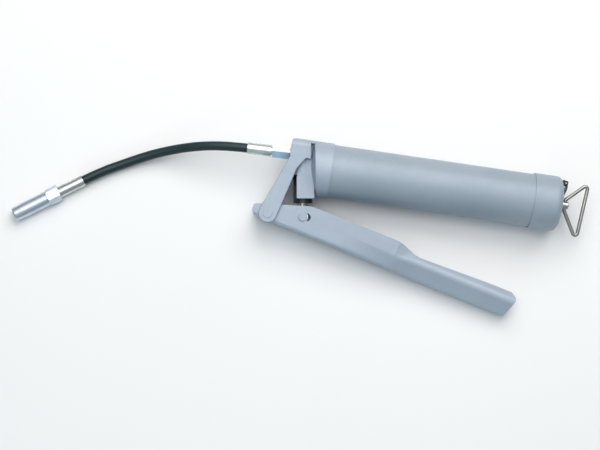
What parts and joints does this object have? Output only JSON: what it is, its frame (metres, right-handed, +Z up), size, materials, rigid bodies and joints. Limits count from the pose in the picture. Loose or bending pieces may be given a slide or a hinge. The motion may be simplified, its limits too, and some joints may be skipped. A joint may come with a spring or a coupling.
{
  "type": "grease gun",
  "caption": "Hand-lever cartridge grease gun lying on its side: silver painted barrel and cast head, channel lever, black whip hose with coupler, wire pull loop",
  "frame": {"origin": "on the floor under the middle of the gun without its hose", "axes": "+X along the barrel to the pull loop, +Y away from the lever, +Z up from the floor it lies on"},
  "size_m": [0.6161, 0.1576, 0.0596],
  "materials": {
    "barrel_paint": "silver-grey hammered enamel",
    "head_paint": "silver-grey enamel over a sand casting",
    "lever_paint": "silver-grey enamel over pressed sheet",
    "pin_paint": "silver-grey enamel over a rivet head",
    "bright_zinc": "bright plated, turned",
    "satin_zinc": "satin plated, crimped",
    "zinc_plate": "zinc plated",
    "plated_wire": "plated drawn wire",
    "steel": "ground steel",
    "spring_steel": "oiled spring wire",
    "blackened_steel": "blackened, oiled",
    "brass": "turned brass",
    "black_rubber": "moulded rubber",
    "hose_rubber": "smooth black cover"
  },
  "bodies": {
    "root": {"head_casting": "head_paint", "barrel_tube": "barrel_paint", "end_cap": "barrel_paint", "head_gasket": "black_rubber", "bleed_screw": "zinc_plate", "pump_cylinder": "blackened_steel", "plunger_seal": "black_rubber", "gland_nut": "brass", "check_seat": "steel", "check_spring": "spring_steel", "outlet_fitting": "bright_zinc", "rear_ferrule": "satin_zinc", "hose": "hose_rubber", "front_ferrule": "satin_zinc", "coupler_adapter": "bright_zinc", "coupler_sleeve": "bright_zinc", "coupler_seal": "black_rubber", "jaw_spring": "spring_steel", "rod_bush": "zinc_plate", "main_spring": "spring_steel", "latch_bracket": "blackened_steel", "latch_pin": "zinc_plate", "latch_rivets": "zinc_plate", "pivot_pin": "pin_paint", "pivot_clip": "blackened_steel"},
    "lever": {"lever": "lever_paint", "pivot_spacer": "zinc_plate"},
    "plunger": {"plunger": "steel", "plunger_pin": "pin_paint", "plunger_clip": "blackened_steel", "plunger_spacers": "zinc_plate"},
    "follower": {"follower_plate": "steel", "follower_cup": "black_rubber", "follower_guide": "steel"},
    "rod": {"follower_rod": "zinc_plate", "rod_nut": "zinc_plate", "rod_clip": "blackened_steel"},
    "loop": {"pull_loop": "plated_wire"},
    "latch": {"rod_latch": "blackened_steel"},
    "jaws": {"coupler_jaws": "steel", "jaw_ring": "steel"},
    "valve": {"check_ball": "steel"}
  },
  "joints": [
    {"name": "lever_swing", "type": "hinge", "parent": "root", "child": "lever", "pos_m": [-0.15362, -0.00595, 0.02181], "axis": [0, -0.1459, 0.9893], "range_deg": [-20, 11]},
    {"name": "plunger_stroke", "type": "slide", "parent": "root", "child": "plunger", "axis": [-0.1444, 0.9789, 0.1444], "range_m": [-0.0145, 0.0082]},
    {"name": "rod_slide", "type": "slide", "parent": "root", "child": "follower", "axis": [1, 0, 0], "range_m": [0, 0.165], "stiffness_N_per_m": 300, "springref_m": -0.03, "deforming": ["main_spring"]},
    {"name": "rod_spin", "type": "hinge", "parent": "follower", "child": "rod", "pos_m": [-0.09305, 0.0482, 0.0298], "axis": [1, 0, 0], "continuous": true},
    {"name": "loop_swing", "type": "hinge", "parent": "rod", "child": "loop", "pos_m": [0.16195, 0.0482, 0.0298], "axis": [0, 0.9893, 0.1459], "range_deg": [-60, 60]},
    {"name": "latch_tilt", "type": "hinge", "parent": "root", "child": "latch", "pos_m": [0.15905, 0.07125, 0.0332], "axis": [0, -0.1459, 0.9893], "range_deg": [0, 4], "stiffness_Nm_per_rad": 0.3, "springref_deg": -5.73},
    {"name": "jaw_slide", "type": "slide", "parent": "root", "child": "jaws", "axis": [0.8145, 0.5801, 0], "range_m": [0, 0.0012], "stiffness_N_per_m": 1500, "springref_m": -0.001, "deforming": ["jaw_spring"]},
    {"name": "check_lift", "type": "slide", "parent": "root", "child": "valve", "axis": [-0.9996, -0.0276, -0.0041], "range_m": [0, 0.001], "stiffness_N_per_m": 300, "springref_m": -0.001, "deforming": ["check_spring"]}
  ],
  "couplings": [
    {"joint": "plunger_stroke", "follows": "lever_swing", "m_per_rad": 0.0397}
  ]
}
